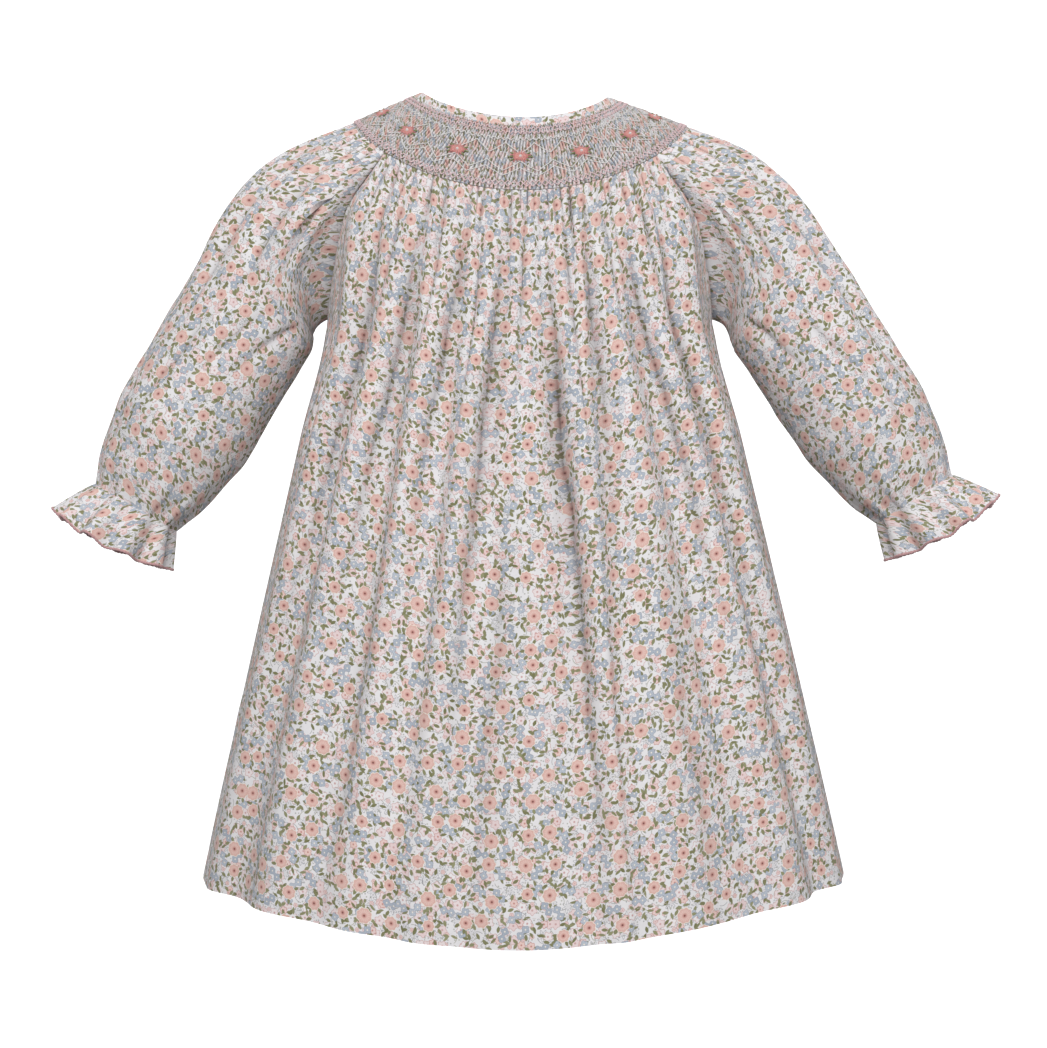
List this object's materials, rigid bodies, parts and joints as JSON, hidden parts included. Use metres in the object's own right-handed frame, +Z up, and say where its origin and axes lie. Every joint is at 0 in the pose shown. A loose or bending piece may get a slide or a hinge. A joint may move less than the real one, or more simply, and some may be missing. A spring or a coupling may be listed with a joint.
{
  "type": "smocked baby dress",
  "caption": "Long-sleeved baby dress filled out as when worn: smocked round yoke, raglan sleeves with elastic wrists and frills, full A-line skirt, buttoned back opening.",
  "frame": {"origin": "middle of the neck opening, level with its two highest points, where the wearer's shoulders carry the dress", "axes": "+Z up, the front faces -Y, +X is the wearer's left"},
  "size_m": [0.5081, 0.2383, 0.4463],
  "materials": {
    "print_cotton": "matt floral-print cotton",
    "smocked_cotton": "the same cotton drawn into smocked pleats",
    "pearl": "soft pearl"
  },
  "bodies": {
    "root": {"smocked_yoke": "smocked_cotton", "neck_binding": "print_cotton", "front": "print_cotton", "back_left": "print_cotton", "back_right": "print_cotton", "sleeve_left": "print_cotton", "sleeve_right": "print_cotton", "frill_left": "print_cotton", "frill_right": "print_cotton", "placket": "print_cotton", "button_1": "pearl", "button_2": "pearl", "button_3": "pearl"}
  },
  "joints": []
}
